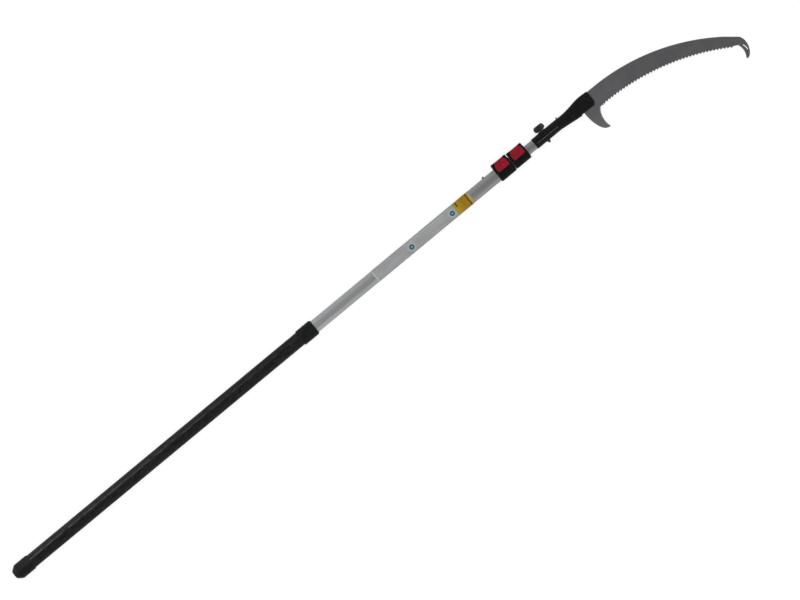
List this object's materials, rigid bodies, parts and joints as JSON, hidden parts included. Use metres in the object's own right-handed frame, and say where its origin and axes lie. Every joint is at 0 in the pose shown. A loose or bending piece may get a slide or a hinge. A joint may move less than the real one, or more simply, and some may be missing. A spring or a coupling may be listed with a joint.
{
  "type": "telescopic pole saw",
  "caption": "Telescopic pole saw: oval sliding pole sections with red lever locks, a long black grip, and a curved toothed blade with a tip hook and sickle in a clamped holder.",
  "frame": {"origin": "centre of the butt cap's flat end, on the axis of the pole", "axes": "+X along the pole from the butt to the blade, +Y towards the spine of the blade and the clamp knob, +Z square to the flat of the blade, up as the saw lies"},
  "size_m": [2.4402, 0.2231, 0.0428],
  "materials": {
    "black_rubber": "matt, soft",
    "anodised_aluminium": "satin, drawn along the tube",
    "silver_film": "satin printed film",
    "yellow_film": "satin printed film",
    "black_nylon": "satin moulded nylon",
    "red_nylon": "smooth moulded nylon",
    "grey_nylon": "plain moulded nylon",
    "zinc_plated_steel": "bright zinc plating",
    "blackened_steel": "oiled black oxide",
    "saw_steel": "ground spring steel",
    "black_coated_alloy": "satin black powder coat on cast alloy"
  },
  "bodies": {
    "outer_pole": {"butt_cap": "black_rubber", "grip_sleeve": "black_rubber", "grip_collar": "black_rubber", "outer_tube": "anodised_aluminium", "silver_label": "silver_film", "yellow_band": "yellow_film", "lower_stop_screw": "zinc_plated_steel", "lower_lock_body": "black_nylon", "lower_lock_screw_1": "zinc_plated_steel", "lower_lock_screw_2": "zinc_plated_steel", "lower_lock_bush": "grey_nylon", "lower_lever_pin": "zinc_plated_steel"},
    "middle_section": {"middle_tube": "anodised_aluminium", "middle_tube_plug": "grey_nylon", "middle_stop_ring": "grey_nylon", "upper_stop_pin": "zinc_plated_steel", "upper_lock_body": "black_nylon", "upper_lock_screw_1": "zinc_plated_steel", "upper_lock_screw_2": "zinc_plated_steel", "upper_lock_bush": "grey_nylon", "upper_lever_pin": "zinc_plated_steel"},
    "inner_section": {"inner_tube": "anodised_aluminium", "inner_tube_plug": "grey_nylon", "inner_stop_ring": "grey_nylon", "blade_holder": "black_coated_alloy", "saw_blade": "saw_steel", "blade_bolt_1": "zinc_plated_steel", "blade_bolt_2": "zinc_plated_steel", "blade_nut_1": "zinc_plated_steel", "blade_nut_2": "zinc_plated_steel", "clamp_washer": "blackened_steel", "clamp_nut": "blackened_steel", "holder_screw": "zinc_plated_steel"},
    "lower_lever": {"lower_lever": "red_nylon"},
    "upper_lever": {"upper_lever": "red_nylon"},
    "lower_shoe": {"lower_brake_shoe": "grey_nylon"},
    "upper_shoe": {"upper_brake_shoe": "grey_nylon"},
    "knob": {"clamp_knob": "black_nylon", "clamp_bolt": "blackened_steel"}
  },
  "joints": [
    {"name": "middle_section_slide", "type": "slide", "parent": "outer_pole", "child": "middle_section", "axis": [1, 0, 0], "range_m": [0, 1.25]},
    {"name": "inner_section_slide", "type": "slide", "parent": "middle_section", "child": "inner_section", "axis": [1, 0, 0], "range_m": [0, 1.25]},
    {"name": "lower_lever_hinge", "type": "hinge", "parent": "outer_pole", "child": "lower_lever", "pos_m": [1.7187, 0.02508, 0], "axis": [-1, 0, 0], "range_deg": [0, 100]},
    {"name": "upper_lever_hinge", "type": "hinge", "parent": "middle_section", "child": "upper_lever", "pos_m": [1.7711, 0.0229, 0], "axis": [-1, 0, 0], "range_deg": [0, 100]},
    {"name": "lower_shoe_slide", "type": "slide", "parent": "outer_pole", "child": "lower_shoe", "axis": [0, 1, 0], "range_m": [0, 0.0005]},
    {"name": "upper_shoe_slide", "type": "slide", "parent": "middle_section", "child": "upper_shoe", "axis": [0, 1, 0], "range_m": [0, 0.0005]},
    {"name": "knob_turn", "type": "hinge", "parent": "inner_section", "child": "knob", "pos_m": [1.8595, 0, 0], "axis": [0, 1, 0], "continuous": true}
  ],
  "couplings": [
    {"joint": "lower_shoe_slide", "follows": "lower_lever_hinge", "m_per_rad": 0.000286},
    {"joint": "upper_shoe_slide", "follows": "upper_lever_hinge", "m_per_rad": 0.000286}
  ]
}
